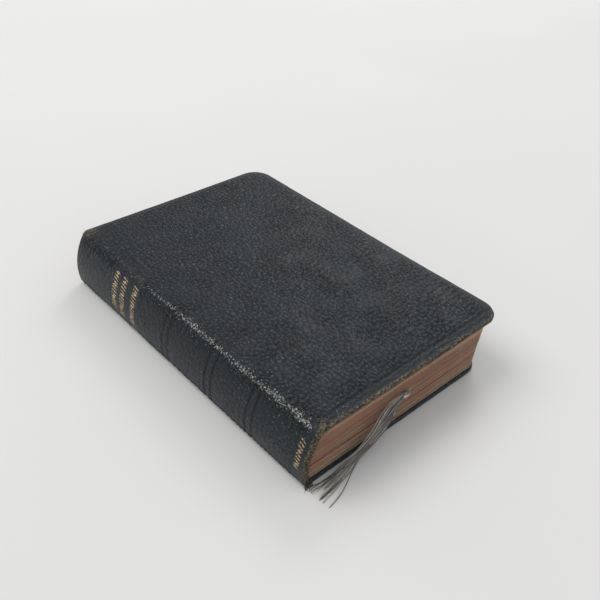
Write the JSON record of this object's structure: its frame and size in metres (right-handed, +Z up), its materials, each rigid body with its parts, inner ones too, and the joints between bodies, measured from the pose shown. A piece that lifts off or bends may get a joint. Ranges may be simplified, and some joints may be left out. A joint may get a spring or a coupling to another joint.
{
  "type": "prayer book",
  "caption": "Small leather-bound devotional book lying closed, with flexible covers, sewn leaves, a rounded spine and a frayed ribbon marker.",
  "frame": {"origin": "middle of the underside of the book's bounding box, on the outside of the back cover; the loose ribbon is left out of the box", "axes": "+X from the spine to the fore-edge, +Y from the tail to the head of the book, +Z up from the back cover to the front cover"},
  "size_m": [0.0794, 0.1205, 0.0205],
  "materials": {
    "cover_leather": "pebble-grained blue-black leather, matt, rubbed pale along the ridge and edges",
    "board": "plain grey-brown card",
    "leaf_paper": "thin aged paper, with red-under-gold edges faded to brown pink",
    "endpaper": "plain aged paper",
    "spine_lining": "brown paper and open-weave mull, glued",
    "linen_tape": "woven linen tape",
    "sewing_thread": "waxed linen thread",
    "ribbon": "grey-brown silk ribbon, frayed to its threads",
    "gilt": "dull gold tooling, partly worn away"
  },
  "bodies": {
    "back_cover": {"back_cover_leather": "cover_leather", "back_board": "board", "back_pastedown": "endpaper"},
    "rear_leaves": {"rear_section_01": "leaf_paper", "rear_section_02": "leaf_paper", "rear_section_03": "leaf_paper", "rear_section_04": "leaf_paper", "rear_section_05": "leaf_paper", "rear_section_06": "leaf_paper", "rear_section_07": "leaf_paper", "rear_section_08": "leaf_paper", "rear_flyleaf": "endpaper", "rear_sewing_thread": "sewing_thread", "rear_sewing_tapes": "linen_tape", "rear_spine_lining": "spine_lining", "rear_spine_leather": "cover_leather", "ribbon_inside": "ribbon", "ribbon_tail": "ribbon"},
    "front_leaves": {"front_section_01": "leaf_paper", "front_section_02": "leaf_paper", "front_section_03": "leaf_paper", "front_section_04": "leaf_paper", "front_section_05": "leaf_paper", "front_section_06": "leaf_paper", "front_flyleaf": "endpaper", "front_sewing_thread": "sewing_thread", "front_sewing_tapes": "linen_tape", "front_spine_lining": "spine_lining", "front_spine_leather": "cover_leather"},
    "front_cover": {"front_cover_leather": "cover_leather", "front_board": "board", "front_pastedown": "endpaper"}
  },
  "joints": [
    {"name": "back_cover_joint", "type": "hinge", "parent": "back_cover", "child": "rear_leaves", "pos_m": [-0.03913, 0, 0.00202], "axis": [0, -1, 0], "range_deg": [0, 75]},
    {"name": "leaves_joint", "type": "hinge", "parent": "rear_leaves", "child": "front_leaves", "pos_m": [-0.03941, 0, 0.01137], "axis": [0, -1, 0], "range_deg": [0, 110]},
    {"name": "front_cover_joint", "type": "hinge", "parent": "front_leaves", "child": "front_cover", "pos_m": [-0.03697, 0, 0.01847], "axis": [0, -1, 0], "range_deg": [0, 150]}
  ]
}
